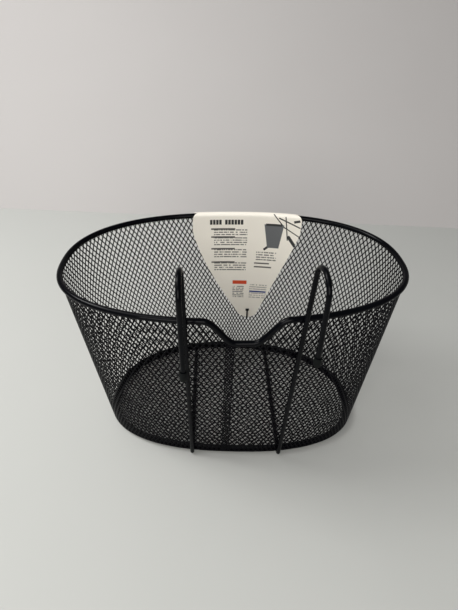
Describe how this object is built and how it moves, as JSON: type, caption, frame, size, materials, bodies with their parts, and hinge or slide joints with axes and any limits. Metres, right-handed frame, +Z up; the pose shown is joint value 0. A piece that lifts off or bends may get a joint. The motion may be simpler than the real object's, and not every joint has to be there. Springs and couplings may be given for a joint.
{
  "type": "handlebar basket",
  "caption": "Oval wire-mesh handlebar basket with a dipped rim hoop, two over-bar hook rods that run under the base, and a folded hang card tied to the far wall.",
  "frame": {"origin": "under the middle of the whole basket, hooks and card included, at ground level", "axes": "+X along the basket's length to the right as the rider sees it, +Y away from the handlebar, +Z up"},
  "size_m": [0.35, 0.2506, 0.2777],
  "materials": {
    "black_coat": "satin black powder coat on steel wire",
    "mesh_coat": "satin black powder coat on expanded-metal mesh",
    "tip_vinyl": "matt black dipped vinyl",
    "card_board": "white coated cardboard with plain printed blocks and no lettering",
    "tie_plastic": "matt black plastic"
  },
  "bodies": {
    "root": {"rim_hoop": "black_coat", "base_ring": "black_coat", "wall_mesh": "mesh_coat", "base_mesh": "mesh_coat", "wall_hem": "mesh_coat", "hook_rod_left": "black_coat", "hook_rod_right": "black_coat", "hook_tip_left": "tip_vinyl", "hook_tip_right": "tip_vinyl", "hang_card": "card_board", "card_tie": "tie_plastic"}
  },
  "joints": []
}
